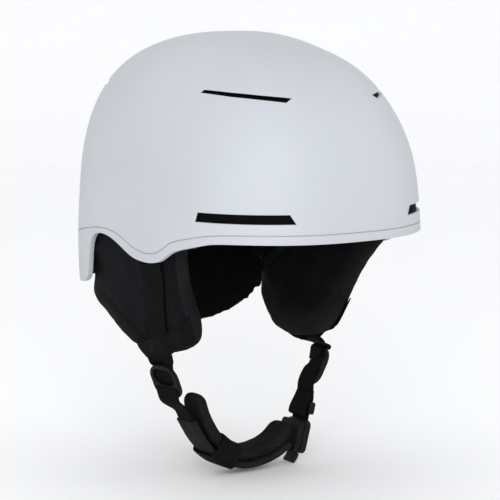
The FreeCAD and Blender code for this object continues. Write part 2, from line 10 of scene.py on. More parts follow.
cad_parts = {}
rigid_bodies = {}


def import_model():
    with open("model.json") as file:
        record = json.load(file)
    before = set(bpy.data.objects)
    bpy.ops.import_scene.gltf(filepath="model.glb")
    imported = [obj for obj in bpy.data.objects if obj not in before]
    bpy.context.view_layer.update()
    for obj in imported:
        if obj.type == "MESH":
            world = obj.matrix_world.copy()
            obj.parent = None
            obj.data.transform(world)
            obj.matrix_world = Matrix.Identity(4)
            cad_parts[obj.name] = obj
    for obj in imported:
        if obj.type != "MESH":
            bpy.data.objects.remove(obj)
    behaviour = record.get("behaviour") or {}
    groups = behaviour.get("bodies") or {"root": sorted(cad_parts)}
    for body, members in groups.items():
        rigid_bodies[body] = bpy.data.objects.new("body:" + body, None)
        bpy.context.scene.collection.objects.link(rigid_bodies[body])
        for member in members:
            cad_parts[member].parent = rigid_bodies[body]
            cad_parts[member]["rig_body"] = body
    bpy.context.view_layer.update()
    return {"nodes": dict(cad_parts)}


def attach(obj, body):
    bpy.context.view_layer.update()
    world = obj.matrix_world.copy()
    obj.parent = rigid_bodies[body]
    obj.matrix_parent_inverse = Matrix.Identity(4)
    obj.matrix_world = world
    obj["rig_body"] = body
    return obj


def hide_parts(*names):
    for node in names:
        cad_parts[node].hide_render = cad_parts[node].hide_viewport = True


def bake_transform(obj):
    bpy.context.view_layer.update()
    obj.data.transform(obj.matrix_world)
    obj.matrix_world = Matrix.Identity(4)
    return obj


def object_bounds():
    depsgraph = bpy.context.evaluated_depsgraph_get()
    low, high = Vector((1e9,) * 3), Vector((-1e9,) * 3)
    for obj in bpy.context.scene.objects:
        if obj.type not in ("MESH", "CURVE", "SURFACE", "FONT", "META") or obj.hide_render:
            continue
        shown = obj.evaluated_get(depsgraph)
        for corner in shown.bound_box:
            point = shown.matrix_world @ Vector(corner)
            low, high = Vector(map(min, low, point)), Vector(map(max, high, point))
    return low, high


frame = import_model()
nodes = frame["nodes"]
scene = bpy.context.scene
MM = 0.001

# Sizes repeated from the CAD source, in millimetres. +X is the wearer's left, -Y the front, +Z up.
PAD_THICK = 17.0
PAD_LEAN = 0.32
PAD_DATUM_Z = -20.0
HALF_WIDTH = 111.5
POLE_Z = -60.0
MIDLINE = [(-90, 118.0), (-20, 122.0), (0, 132.3), (20, 146.8), (35, 164.0), (50, 190.0),
           (65, 203.8), (80, 206.2), (95, 211.5), (110, 217.0), (118, 217.5), (126, 210.5),
           (133, 194.5), (141, 176.5), (155, 153.8), (170, 138.9), (185, 127.6), (205, 120.0),
           (270, 118.0)]
FRONT_FULLNESS = 2.48
REAR_FULLNESS = 3.1
PAD_PLAN = [(46, 88.0), (30, 93.3), (10, 97.0), (-15, 100.5), (-40, 102.3), (-60, 102.0),
            (-80, 98.0), (-100, 89.5)]
PAD_OUTLINE = [(38, 2), (36.5, -14), (33, -30), (30.5, -46), (29.5, -62), (29, -76), (24, -86.5),
               (12, -92.5), (-6, -97), (-26, -99.5), (-43, -96), (-57, -88.5), (-72, -80), (-86, -71),
               (-94, -61), (-96, -51), (-93, -40), (-89, -28), (-86, -12), (-84, 2)]
STRAP_Y = 13.0
DIVIDER_PLACES = {1: (75.0, -120.5), -1: (71.0, -117.0)}
DIVIDER_LEAN = math.radians(25.0)
DIVIDER_TURN = math.radians(14.0)
DIVIDER_HEIGHT = 31.0
BUCKLE = Vector((51.5, STRAP_Y, -174.5))
BUCKLE_LEAN = math.radians(15.0)
BUCKLE_LENGTH = 27.0
ACROSS = Vector((0, 1, 0))
WEBBING_WIDTH = 20.0
WEBBING_THICK = 1.9
RIB_PITCH = 1.7

# How the cloth of the ear pads is drawn in, in millimetres.
SEAM_DEPTH = 2.6                    # shell cloth meets the fleece this far in from the outer face
CREASE_DEPTH = 3.4
CREASE_SPREAD = 8.0
RIDGE_HEIGHT = 1.5
RIDGE_SPREAD = 9.0
GROOVE_DEPTH = 1.2
FLARE = 6.0                         # the rear edge stands out below the rim
RIM_INSET = 4.8                     # the pad's top stays this far inside the shell surface

# The left pad hangs a little differently from the right one.
FOOT_TUCK = 9.0
CORNER_OUT = 7.0
CORNER_FORWARD = 13.0
HEEL_BACK = 8.0

CAMERA_AZIMUTH = math.radians(-35.5)
CAMERA_ELEVATION = math.radians(7.0)


# ---- materials ---------------------------------------------------------------------------

def linear(rgb):
    """Linear colour of an 8-bit screen colour."""
    return tuple((c / 255 / 12.92) if c / 255 <= 0.04045 else ((c / 255 + 0.055) / 1.055) ** 2.4
                 for c in rgb) + (1.0,)


class Nodes:
    """Short spelling for building a material's node tree."""

    def __init__(self, name):
        self.material = bpy.data.materials.new(name)
        self.material.use_nodes = True
        self.tree = self.material.node_tree
        self.shader = self.tree.nodes["Principled BSDF"]
        self.place = self.add("ShaderNodeTexCoord").outputs["Object"]

    def add(self, kind, **values):
        node = self.tree.nodes.new(kind)
        for key, value in values.items():
            setattr(node, key, value)
        return node

    def link(self, source, target):
        self.tree.links.new(source, target)

    def scaled(self, scale):
        mapping = self.add("ShaderNodeMapping")
        mapping.inputs["Scale"].default_value = scale
        self.link(self.place, mapping.inputs["Vector"])
        return mapping.outputs["Vector"]

    def noise(self, scale, detail=3.0, rough=0.55, vector=None):
        node = self.add("ShaderNodeTexNoise")
        node.inputs["Scale"].default_value = scale
        node.inputs["Detail"].default_value = detail
        node.inputs["Roughness"].default_value = rough
        self.link(vector or self.place, node.inputs["Vector"])
        return node.outputs["Fac"]

    def wave(self, scale, direction, distortion=0.0, vector=None):
        node = self.add("ShaderNodeTexWave", wave_type="BANDS", bands_direction=direction)
        node.inputs["Scale"].default_value = scale
        node.inputs["Distortion"].default_value = distortion
        self.link(vector or self.place, node.inputs["Vector"])
        return node.outputs["Fac"]

    def cells(self, scale, feature="F1"):
        node = self.add("ShaderNodeTexVoronoi", feature=feature)
        node.inputs["Scale"].default_value = scale
        self.link(self.place, node.inputs["Vector"])
        return node.outputs["Distance"]

    def math(self, operation, *values):
        node = self.add("ShaderNodeMath", operation=operation)
        for socket, value in zip(node.inputs, values):
            if isinstance(value, (int, float)):
                socket.default_value = value
            else:
                self.link(value, socket)
        return node.outputs[0]

    def ramp(self, factor, stops):
        node = self.add("ShaderNodeValToRGB")
        ramp = node.color_ramp
        while len(ramp.elements) < len(stops):
            ramp.elements.new(0.5)
        for element, (position, colour) in zip(ramp.elements, stops):
            element.position = position
            element.color = colour
        self.link(factor, node.inputs["Fac"])
        return node.outputs["Color"]

    def colour(self, factor, stops):
        self.link(self.ramp(factor, stops), self.shader.inputs["Base Color"])

    def bump(self, heights):
        """Chain of bumps, each (height, strength, distance in metres)."""
        normal = None
        for height, strength, distance in heights:
            node = self.add("ShaderNodeBump")
            node.inputs["Strength"].default_value = strength
            node.inputs["Distance"].default_value = distance
            self.link(height, node.inputs["Height"])
            if normal is not None:
                self.link(normal, node.inputs["Normal"])
            normal = node.outputs["Normal"]
        self.link(normal, self.shader.inputs["Normal"])

    def set(self, **values):
        for key, value in values.items():
            self.shader.inputs[key.replace("_", " ")].default_value = value


def grey(value, factor=1.0):
    r, g, b, a = linear(value)
    return (r * factor, g * factor, b * factor, a)


def shell_material(name, colour):
    """Matt lacquer: a fine orange peel, slightly duller and darker in patches."""
    m = Nodes(name)
    patch = m.noise(9.0, 2.0)
    m.colour(patch, [(0.3, grey(colour, 0.97)), (0.7, grey(colour, 1.02))])
    grain = m.noise(900.0, 2.0)
    m.link(m.math("MULTIPLY_ADD", grain, 0.12, 0.46), m.shader.inputs["Roughness"])
    m.bump([(m.noise(260.0, 2.0), 0.10, 0.0004), (grain, 0.12, 0.00015)])
    m.set(Specular_IOR_Level=0.32, Coat_Weight=0.03, Coat_Roughness=0.45)
    return m.material


def plastic_material(name, colour, rough=0.42, grain=1400.0, specular=0.45):
    """Moulded plastic with a fine spark-eroded grain and rubbed patches."""
    m = Nodes(name)
    patch = m.noise(60.0, 4.0)
    m.colour(patch, [(0.3, grey(colour, 0.85)), (0.75, grey(colour, 1.25))])
    texture = m.noise(grain, 2.0)
    m.link(m.math("MULTIPLY_ADD", patch, 0.18, rough - 0.08), m.shader.inputs["Roughness"])
    m.bump([(texture, 0.25, 0.0002)])
    m.set(Specular_IOR_Level=specular)
    return m.material


def weave_material(name, colour, pitch=0.0009, rough=0.85, sheen=0.25, fuzz=0.2):
    """Woven or knitted cloth: two crossed thread directions, patchy wear and a light fuzz."""
    m = Nodes(name)
    turns = 1.0 / pitch / math.tau * 2.0
    warp = m.wave(turns, "Y", 0.6)
    weft = m.wave(turns, "Z", 0.6)
    cloth = m.math("MAXIMUM", warp, weft)
    mottled = m.math("MULTIPLY", cloth, m.noise(140.0, 5.0))
    m.colour(mottled, [(0.1, grey(colour, 0.62)), (0.7, grey(colour, 1.35))])
    m.bump([(cloth, 0.45, 0.0004), (m.noise(900.0, 3.0), fuzz, 0.0003)])
    m.set(Roughness=rough, Specular_IOR_Level=0.08, Sheen_Weight=sheen, Sheen_Roughness=0.5)
    return m.material


def fleece_material(name, colour, sheen=0.35):
    """Brushed fleece: clumped pile with no thread direction."""
    m = Nodes(name)
    clump = m.noise(420.0, 6.0, 0.7)
    patch = m.noise(45.0, 3.0)
    m.colour(m.math("MULTIPLY", clump, patch), [(0.1, grey(colour, 0.6)), (0.45, grey(colour, 1.4))])
    m.bump([(patch, 0.25, 0.001), (clump, 0.6, 0.0006)])
    m.set(Roughness=0.95, Specular_IOR_Level=0.06, Sheen_Weight=sheen, Sheen_Roughness=0.6)
    return m.material


def foam_material(name, colour):
    """Moulded bead foam: pressed round beads with dark joints."""
    m = Nodes(name)
    beads = m.cells(330.0)
    m.colour(beads, [(0.0, grey(colour, 1.3)), (0.8, grey(colour, 0.5))])
    m.bump([(beads, 0.35, 0.0006), (m.noise(700.0), 0.15, 0.0003)])
    m.set(Roughness=0.75, Specular_IOR_Level=0.3)
    return m.material


def steel_material(name):
    m = Nodes(name)
    streaks = m.noise(80.0, 4.0, vector=m.scaled((1.0, 30.0, 30.0)))
    m.colour(streaks, [(0.2, (0.35, 0.36, 0.38, 1)), (0.8, (0.6, 0.61, 0.62, 1))])
    m.bump([(streaks, 0.15, 0.0001)])
    m.set(Metallic=1.0, Roughness=0.34)
    return m.material


SHELL = shell_material("shell_lacquer", (185, 189, 194))
RIM = shell_material("rim_lacquer", (184, 187, 191))
FOAM = foam_material("bead_foam", (12, 12, 14))
VENT = plastic_material("vent_black", (6, 6, 7), 0.7, 900.0, 0.05)
SOFTSHELL = weave_material("softshell", (14, 15, 18), 0.0011, 0.8, 0.0)
FLEECE = fleece_material("fleece", (28, 27, 29), 0.0)
LINING = weave_material("lining", (10, 10, 12), 0.0009, 0.95, 0.0)
WEBBING = weave_material("webbing", (12, 12, 13), 0.0008, 0.85, 0.0)
HEM = weave_material("hem_cloth", (14, 14, 15), 0.0007, 0.85, 0.0)
SLEEVE = weave_material("sleeve_cloth", (34, 34, 36), 0.001, 0.85, 0.0)
THREAD = weave_material("thread", (24, 25, 28), 0.0003, 0.75, 0.0)
BUCKLE_PLASTIC = plastic_material("buckle_black", (10, 10, 12), 0.55, 1400.0, 0.16)
FIT_PLASTIC = plastic_material("fit_black", (12, 12, 14), 0.55, 1400.0, 0.25)
RETAINER_PLASTIC = plastic_material("retainer_black", (26, 26, 29), 0.45)
RUBBER = plastic_material("rubber_black", (22, 22, 24), 0.7, 700.0, 0.25)
STEEL = steel_material("magnet_steel")

for node_name, node_material in {
        "outer_shell": SHELL, "rim_moulding": RIM, "foam_liner": FOAM,
        "strap_divider_left": BUCKLE_PLASTIC, "strap_divider_right": BUCKLE_PLASTIC,
        "strap_anchor_left": RETAINER_PLASTIC, "strap_anchor_right": RETAINER_PLASTIC,
        "strap_slider": BUCKLE_PLASTIC, "buckle_base": BUCKLE_PLASTIC, "buckle_cap": BUCKLE_PLASTIC,
        "buckle_pull_tab": RUBBER, "buckle_base_magnet": STEEL, "buckle_cap_magnet": STEEL,
        "cradle_frame": FIT_PLASTIC, "cradle_guide": FIT_PLASTIC, "dial_housing": FIT_PLASTIC,
        "dial_pinion": FIT_PLASTIC, "dial_knob": RUBBER, "fit_band_left": FIT_PLASTIC,
        "fit_band_right": FIT_PLASTIC, "temple_peg_left": FIT_PLASTIC, "temple_peg_right": FIT_PLASTIC,
        "goggle_retainer_base": RETAINER_PLASTIC, "goggle_loop": RUBBER,
        "goggle_loop_stud": RETAINER_PLASTIC}.items():
    nodes[node_name].data.materials.clear()
    nodes[node_name].data.materials.append(node_material)
for place in ("front", "upper", "rear"):
    for side_name in ("left", "right"):
        insert = nodes[f"vent_{place}_insert_{side_name}"]
        insert.data.materials.clear()
        insert.data.materials.append(VENT)


# ---- mesh helpers ----------------------------------------------------------------------------

def smooth_path(points, step):
    """Catmull-Rom curve through points, sampled about every step millimetres."""
    points = [Vector(p) for p in points]
    line = []
    for i in range(len(points) - 1):
        p1, p2 = points[i], points[i + 1]
        p0 = points[i - 1] if i else p1 * 2 - p2
        p3 = points[i + 2] if i + 2 < len(points) else p2 * 2 - p1
        count = max(2, round((p2 - p1).length / step))
        for k in range(count):
            t = k / count
            line.append(0.5 * ((2 * p1) + (p2 - p0) * t + (2 * p0 - 5 * p1 + 4 * p2 - p3) * t * t
                               + (3 * p1 - p0 - 3 * p2 + p3) * t ** 3))
    line.append(points[-1])
    return line


def flat_path(line, step):
    """Curve through (forward, up) points."""
    return smooth_path([v + (0,) for v in line], step)


def closed_path(points, step):
    """Closed Catmull-Rom curve through 2-D or 3-D points."""
    size = len(points[0])
    points = [Vector(tuple(p) + (0,) * (3 - size)) for p in points]
    line = []
    total = len(points)
    for i in range(total):
        p0, p1, p2, p3 = (points[(i + k - 1) % total] for k in range(4))
        count = max(1, round((p2 - p1).length / step))
        for k in range(count):
            t = k / count
            line.append(0.5 * ((2 * p1) + (p2 - p0) * t + (2 * p0 - 5 * p1 + 4 * p2 - p3) * t * t
                               + (3 * p1 - p0 - 3 * p2 + p3) * t ** 3))
    return line


def build(name, verts, faces, material, face_materials=None, flip=False):
    """Mesh object from millimetre points."""
    mesh = bpy.data.meshes.new(name)
    if flip:
        faces = [tuple(reversed(f)) for f in faces]
    mesh.from_pydata([tuple(c * MM for c in v) for v in verts], [], faces)
    for m in material if isinstance(material, (list, tuple)) else [material]:
        mesh.materials.append(m)
    if face_materials:
        mesh.polygons.foreach_set("material_index", face_materials)
    mesh.polygons.foreach_set("use_smooth", [True] * len(mesh.polygons))
    mesh.update()
    obj = bpy.data.objects.new(name, mesh)
    scene.collection.objects.link(obj)
    return obj


def fix_normals(obj):
    bm = bmesh.new()
    bm.from_mesh(obj.data)
    bmesh.ops.recalc_face_normals(bm, faces=bm.faces)
    bm.to_mesh(obj.data)
    bm.free()
    return obj


def loft(rings, capped=True):
    """Points and faces of a tube through equal-sized closed rings."""
    size = len(rings[0])
    verts = [p for ring in rings for p in ring]
    faces = []
    for i in range(len(rings) - 1):
        for j in range(size):
            k = (j + 1) % size
            faces.append((i * size + j, i * size + k, (i + 1) * size + k, (i + 1) * size + j))
    if capped:
        faces.append(tuple(range(size - 1, -1, -1)))
        last = (len(rings) - 1) * size
        faces.append(tuple(range(last, last + size)))
    return verts, faces


def rounded_section(width, thick, corner=0.8, per_corner=3):
    """Closed (across, up) outline of a flat strap with round edges."""
    radius = min(corner, thick / 2 * 0.98)
    section = []
    for cx, cy, start in ((1, 1, 0), (-1, 1, 90), (-1, -1, 180), (1, -1, 270)):
        for k in range(per_corner + 1):
            a = math.radians(start + 90.0 * k / per_corner)
            section.append((cx * (width / 2 - radius) + radius * math.cos(a),
                            cy * (thick / 2 - radius) + radius * math.sin(a)))
    return section


def frames_along(line, across):
    """(point, tangent, side, rise) along a line, with the side near across: one value or one per point."""
    out = []
    for i, p in enumerate(line):
        tangent = (line[min(i + 1, len(line) - 1)] - line[max(i - 1, 0)]).normalized()
        wanted = across[i] if isinstance(across, list) else across
        side = (wanted - tangent * wanted.dot(tangent)).normalized()
        out.append((p, tangent, side, tangent.cross(side).normalized()))
    return out


def strap_rings(line, across, width, thick, rib=0.0, rib_pitch=1.6, corner=0.8, widths=None,
                round_ends=False):
    """Rings of a strap; ribs run across it as on woven webbing."""
    rings = []
    travelled = 0.0
    total = sum((b - a).length for a, b in zip(line, line[1:]))
    middle_rows = 6
    for i, (p, _, side, rise) in enumerate(frames_along(line, across)):
        if i:
            travelled += (p - line[i - 1]).length
        w = widths(travelled / total) if widths else width
        t = thick + rib * math.cos(math.tau * travelled / rib_pitch)
        if round_ends:
            near_end = min(travelled, total - travelled)
            radius = round_ends
            if near_end < radius:
                share = math.sqrt(max(0.0, 1 - (1 - near_end / radius) ** 2))
                w = w - 2 * radius * (1 - share) * 0.9
                t = max(0.25 * t, t * (0.4 + 0.6 * share))
        ring = []
        outline = rounded_section(w, t, corner)
        top, bottom = [], []
        quarter = len(outline) // 4
        first = outline[:quarter]
        second = outline[quarter:2 * quarter]
        third = outline[2 * quarter:3 * quarter]
        fourth = outline[3 * quarter:]
        for k in range(1, middle_rows):
            share = k / middle_rows
            top.append((first[-1][0] + (second[0][0] - first[-1][0]) * share, t / 2))
            bottom.append((third[-1][0] + (fourth[0][0] - third[-1][0]) * share, -t / 2))
        for a, b in first + top + second + third + bottom + fourth:
            ring.append(p + side * a + rise * b)
        rings.append(ring)
    return rings


def baked(obj):
    """Applies the modifiers of an object."""
    graph = bpy.context.evaluated_depsgraph_get()
    mesh = bpy.data.meshes.new_from_object(obj.evaluated_get(graph), depsgraph=graph)
    mesh.name = obj.data.name
    obj.modifiers.clear()
    obj.data = mesh
    return obj


def points_of(mesh):
    co = np.zeros(len(mesh.vertices) * 3)
    mesh.vertices.foreach_get("co", co)
    return co.reshape(-1, 3)


def inflate(obj, voxel, cap, pressure=4.0, last_frame=20):
    """Blows a closed form up as cloth, each point moving at most cap millimetres, then smooths it."""
    remesh = obj.modifiers.new("remesh", "REMESH")
    remesh.mode = "VOXEL"
    remesh.voxel_size = voxel * MM
    remesh.use_smooth_shade = True
    baked(obj)
    relax = obj.modifiers.new("relax", "SMOOTH")
    relax.factor = 0.5
    relax.iterations = 2
    baked(obj)
    before = points_of(obj.data)
    cloth = obj.modifiers.new("cloth", "CLOTH")
    settings = cloth.settings
    settings.use_pressure = True
    settings.uniform_pressure_force = pressure
    settings.effector_weights.gravity = 0.0
    settings.quality = 5
    settings.tension_stiffness = 12.0
    settings.compression_stiffness = 12.0
    settings.bending_stiffness = 0.4
    cloth.point_cache.frame_start = 1
    cloth.point_cache.frame_end = last_frame
    for number in range(1, last_frame + 1):
        scene.frame_set(number)
    graph = bpy.context.evaluated_depsgraph_get()
    after = points_of(obj.evaluated_get(graph).data)
    obj.modifiers.clear()
    move = after - before
    length = np.linalg.norm(move, axis=1, keepdims=True)
    limit = cap * MM
    move *= np.minimum(1.0, limit / np.maximum(length, 1e-9))
    obj.data.vertices.foreach_set("co", (before + move).ravel())
    obj.data.update()
    scene.frame_set(1)
    smooth = obj.modifiers.new("smooth", "SMOOTH")
    smooth.factor = 0.5
    smooth.iterations = 2
    divide = obj.modifiers.new("divide", "SUBSURF")
    divide.levels = divide.render_levels = 1
    baked(obj)
    obj.data.polygons.foreach_set("use_smooth", [True] * len(obj.data.polygons))
    return obj


def finish_piece(obj, replaces=(), body=None, flex=None):
    """Parents a piece to the body it rides on and hides the CAD parts it replaces. With flex set (1 left or
    -1 right) the transform is baked in instead and the piece stays unparented; the side itself is not used.
    """
    if flex:
        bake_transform(obj)
    else:
        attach(obj, body)
    if replaces:
        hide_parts(*replaces)
    return obj


# ---- ear pads -------------------------------------------------------------------------------------

def plan_x(forward):
    """X of the pad's outer face at the datum height."""
    if forward >= PAD_PLAN[0][0]:
        (f1, x1), (f0, x0) = PAD_PLAN[0], PAD_PLAN[1]
        return x1 + (x1 - x0) / (f1 - f0) * (forward - f1)
    for (f1, x1), (f0, x0) in zip(PAD_PLAN, PAD_PLAN[1:]):
        if f0 <= forward <= f1:
            return x0 + (x1 - x0) * (forward - f0) / (f1 - f0)
    return PAD_PLAN[-1][1]


PLAN_TABLE = np.array([plan_x(f) for f in range(-110, 51)])
PLAN_TABLE = np.convolve(np.pad(PLAN_TABLE, 8, mode="edge"), np.ones(17) / 17, mode="valid")


def pad_point(forward, up, offset):
    """Point of the left pad, by distance forward, height and distance out from its outer face."""
    x = np.interp(forward, range(-110, 51), PLAN_TABLE) + PAD_LEAN * (up - PAD_DATUM_Z)
    lean = math.hypot(1.0, PAD_LEAN)
    return Vector((x + offset / lean, -forward, up - offset * PAD_LEAN / lean))


def skin_share(points, inset):
    """How far N by 3 points reach towards the shell surface moved in by inset: 1 is on it."""
    rho = np.hypot(points[:, 1], points[:, 2] - POLE_Z)
    angle = np.arctan2(points[:, 2] - POLE_Z, -points[:, 1])
    turn = np.mod(np.degrees(angle) + 90.0, 360.0) - 90.0
    radius = np.interp(turn, [a for a, r in MIDLINE], [r for a, r in MIDLINE]) - inset
    power = FRONT_FULLNESS + (REAR_FULLNESS - FRONT_FULLNESS) * (1 - np.cos(angle)) / 2
    across = np.abs(points[:, 0]) / (HALF_WIDTH - inset)
    return (across ** power + (rho / radius) ** power) ** (1 / power)


def pad_offset(points):
    """How far each point of an N by 3 millimetre array is out from the pad's outer face."""
    x = np.interp(-points[:, 1], range(-110, 51), PLAN_TABLE) + PAD_LEAN * (points[:, 2] - PAD_DATUM_Z)
    return (points[:, 0] - x) / math.hypot(1.0, PAD_LEAN)


def pillow(outline, outer, inner, centre, outer_round, inner_round, shrink=0.0, step=4.0):
    """Points and faces of a pad: a closed (forward, up) outline, both faces rounded into the edge."""
    line = closed_path(outline, step)
    half = (outer - inner) / 2
    middle = (outer + inner) / 2
    rings = []
    heights = (0.0, 0.3, 0.55, 0.75, 0.9, 0.98, 1.0)

    def slant(p):
        return 1 + 0.75 * min(1.0, max(0.0, (p.x - 5) / 25)) * min(1.0, max(0.0, (p.y + 85) / 60))

    def ring(inset, offset):
        made = []
        for p in line:
            away = Vector((centre[0] - p.x, centre[1] - p.y))
            wanted = inset * (slant(p) if offset < middle else 1.0) + shrink
            move = away.normalized() * min(wanted, away.length * 0.9)
            made.append(pad_point(p.x + move.x, p.y + move.y, offset))
        return made

    for height in heights:
        rings.append(ring(outer_round * (1 - math.sqrt(1 - height ** 2)), middle + half * height))
    inner_rings = []
    for height in heights[1:]:
        inner_rings.append(ring(inner_round * (1 - math.sqrt(1 - height ** 2)), middle - half * height))
    ordered = inner_rings[::-1] + rings
    verts, faces = loft(ordered, capped=False)
    size = len(line)
    for ring_index, offset, flip in ((0, inner, True), (len(ordered) - 1, outer, False)):
        base = ring_index * size
        previous = list(range(base, base + size))
        for share in (0.7, 0.4, 0.15):
            start = len(verts)
            for index in range(size):
                p = line[index]
                away = Vector((centre[0] - p.x, centre[1] - p.y))
                taper = (inner_round * slant(p) if flip else outer_round) + shrink
                keep = max(0.0, 1 - taper / max(away.length, 1e-6)) * share
                verts.append(pad_point(centre[0] - away.x * keep, centre[1] - away.y * keep, offset))
            current = list(range(start, start + size))
            for j in range(size):
                k = (j + 1) % size
                face = (previous[j], previous[k], current[k], current[j])
                faces.append(face[::-1] if flip else face)
            previous = current
        verts.append(pad_point(centre[0], centre[1], offset))
        tip = len(verts) - 1
        for j in range(size):
            face = (previous[j], previous[(j + 1) % size], tip)
            faces.append(face[::-1] if flip else face)
    return verts, faces


WEB_STATIONS = [(12.0, -4.0), (9.0, -26.0), (1.0, -51.0), (-6.5, -77.0), (-8.0, -96.5)]
REAR_SEAM = [(-78, -47), (-64, -54), (-52, -61), (-41, -67.5), (-30, -75), (-21, -82)]
FRONT_SEAM = [(26.5, 2), (24.3, -20), (17.5, -46), (11.0, -66), (8.5, -74)]


def distance_to_line(points, line):
    """Distance of each (forward, up) point from a polyline, and which side it is on."""
    best = np.full(len(points), 1e9)
    sign = np.zeros(len(points))
    for a, b in zip(line, line[1:]):
        a, b = np.array(a[:2], float), np.array(b[:2], float)
        d = b - a
        t = np.clip(((points - a) @ d) / (d @ d), 0, 1)
        rest = points - (a + t[:, None] * d)
        dist = np.hypot(rest[:, 0], rest[:, 1])
        closer = dist < best
        best[closer] = dist[closer]
        sign[closer] = np.sign(d[0] * rest[closer, 1] - d[1] * rest[closer, 0])
    return best, sign


def make_ear_pad():
    """Left ear pad: softshell outside, fleece inside and along the front, with sewn seams."""
    verts, faces = pillow(PAD_OUTLINE, -0.8, -PAD_THICK - 1.0, (-28.0, -42.0), 4.0, 14.0, shrink=0.3)
    pad = build("ear_pad_left", verts, faces, [SOFTSHELL, FLEECE])
    inflate(pad, 3.0, 2.0)
    fix_normals(pad)
    points = points_of(pad.data) / MM
    normals = np.array([v.normal[:] for v in pad.data.vertices])
    flat = np.stack([-points[:, 1], points[:, 2]], axis=1)
    facing = np.clip((normals[:, 0] - 0.15) / 0.4, 0, 1)
    move = np.zeros(len(points))
    distance, side = distance_to_line(flat, flat_path(REAR_SEAM, 3.0))
    fold = np.where(side < 0, -CREASE_DEPTH * np.exp(-(distance / CREASE_SPREAD) ** 2),
                    RIDGE_HEIGHT * np.exp(-(distance / RIDGE_SPREAD) ** 2))
    move += facing * fold * np.clip((flat[:, 0] + 66) / 20, 0, 1)
    distance, side = distance_to_line(flat, flat_path(FRONT_SEAM, 3.0))
    move += facing * -GROOVE_DEPTH * np.exp(-(distance / 1.6) ** 2)
    for index, p in enumerate(points):
        move[index] += 0.7 * noise.noise(Vector(p) * 0.035) + 0.35 * noise.noise(Vector(p) * 0.11)
    seam = np.exp(-((pad_offset(points) + SEAM_DEPTH) / 1.1) ** 2) * (1 - np.abs(normals[:, 0]))
    points = points + normals * (move - 1.1 * seam)[:, None]
    distance, side = distance_to_line(flat, flat_path(WEB_STATIONS, 3.0))
    under = np.clip((13.0 - distance) / 3.0, 0, 1)
    points[:, 0] -= np.maximum(pad_offset(points) - 0.1, 0) * under
    flare = np.exp(-((flat[:, 0] + 92) / 22) ** 2 - ((flat[:, 1] + 58) / 13) ** 2)
    points[:, 0] += FLARE * flare
    reach = np.maximum(skin_share(points, RIM_INSET), 1.0)
    points[:, 0] /= reach ** (1.6 * np.clip((points[:, 2] + 47) / 4, 0, 1))
    pad.data.vertices.foreach_set("co", (points * MM).ravel())
    pad.data.update()
    flags = []
    for face in pad.data.polygons:
        centre = np.array(face.center[:]) / MM
        depth = pad_offset(centre[None, :])[0]
        flags.append(0 if depth > -SEAM_DEPTH and face.normal.x > -0.2 else 1)
    pad.data.polygons.foreach_set("material_index", flags)
    pad.data.update()
    return pad


def mirrored_copy(obj, name):
    """Copy of a left piece for the right side."""
    mesh = obj.data.copy()
    mesh.name = name
    mesh.transform(Matrix.Scale(-1.0, 4, (1, 0, 0)))
    mesh.flip_normals()
    copy = bpy.data.objects.new(name, mesh)
    scene.collection.objects.link(copy)
    return copy


def tree_of(obj):
    points = [tuple(v.co) for v in obj.data.vertices]
    return BVHTree.FromPolygons(points, [tuple(p.vertices) for p in obj.data.polygons])


def on_pad(tree, forward, up, lift, fallback=-2.0):
    """Point over the pad's outer face, lift millimetres above what is there."""
    start = pad_point(forward, up, 30.0)
    direction = pad_point(forward, up, -30.0) - start
    hit = tree.ray_cast(start * MM, direction.normalized(), 0.045)
    if hit[0] is None:
        return pad_point(forward, up, fallback + lift)
    return hit[0] / MM - direction.normalized() * lift


def divider_point(up, out, across=STRAP_Y, side=1):
    """Point of the left (1) or right (-1) divider, up its own height and out from its middle plane."""
    lean, turn = DIVIDER_LEAN, DIVIDER_TURN
    x, z = DIVIDER_PLACES[side]
    forwards = up * math.sin(lean) + out * math.cos(lean)
    sideways = across - STRAP_Y
    return Vector((side * (x + forwards * math.cos(turn) + sideways * math.sin(turn)),
                   STRAP_Y + sideways * math.cos(turn) - forwards * math.sin(turn),
                   z + up * math.cos(lean) - out * math.sin(lean)))


def make_side_strap(side):
    """Webbing down the outside of a pad, behind the top bar of the divider and into its window."""
    line = np.array([pad_point(p.x, p.y, 1.5)[:] for p in flat_path(WEB_STATIONS, 9.0)])
    line = [Vector(p) for p in (hang_left(line) if side > 0 else line * (-1, 1, 1))]
    for up, out in ((2.5, -2.6), (-2.5, -3.0), (-7.0, -1.4), (-13.5, -1.1), (-17.5, -2.3),
                    (-21.5, -3.0)):
        line.append(divider_point(DIVIDER_HEIGHT / 2 + up, out, side=side))
    on_cloth = Vector((side * 0.165, 1, 0)).normalized()
    on_ring = Vector((side * math.sin(DIVIDER_TURN), math.cos(DIVIDER_TURN), 0))
    dense = smooth_path(line, 0.4)
    across = []
    for i in range(len(dense)):
        across.append(on_cloth.lerp(on_ring, max(0.0, i / len(dense) - 0.7) / 0.3))
    rings = strap_rings(dense, across, WEBBING_WIDTH, WEBBING_THICK, rib=0.2, rib_pitch=RIB_PITCH,
                        corner=0.7,
                        widths=lambda t: WEBBING_WIDTH - 0.5 * max(0.0, min(1.0, (t - 0.72) / 0.08)))
    return fix_normals(build("side_strap_" + ("left" if side > 0 else "right"), *loft(rings), WEBBING))


HEM_TOP = [(29.0, -60.5), (22, -66.5), (10, -72.3), (-4, -77.5), (-21, -83.2), (-34, -85.5),
           (-45, -86.5)]
HEM_BOTTOM = [(28.2, -81.5), (19.5, -84.8), (10, -88.5), (0, -93.5), (-15, -100.0), (-25, -102.5),
              (-37, -96.5), (-46, -90.0)]


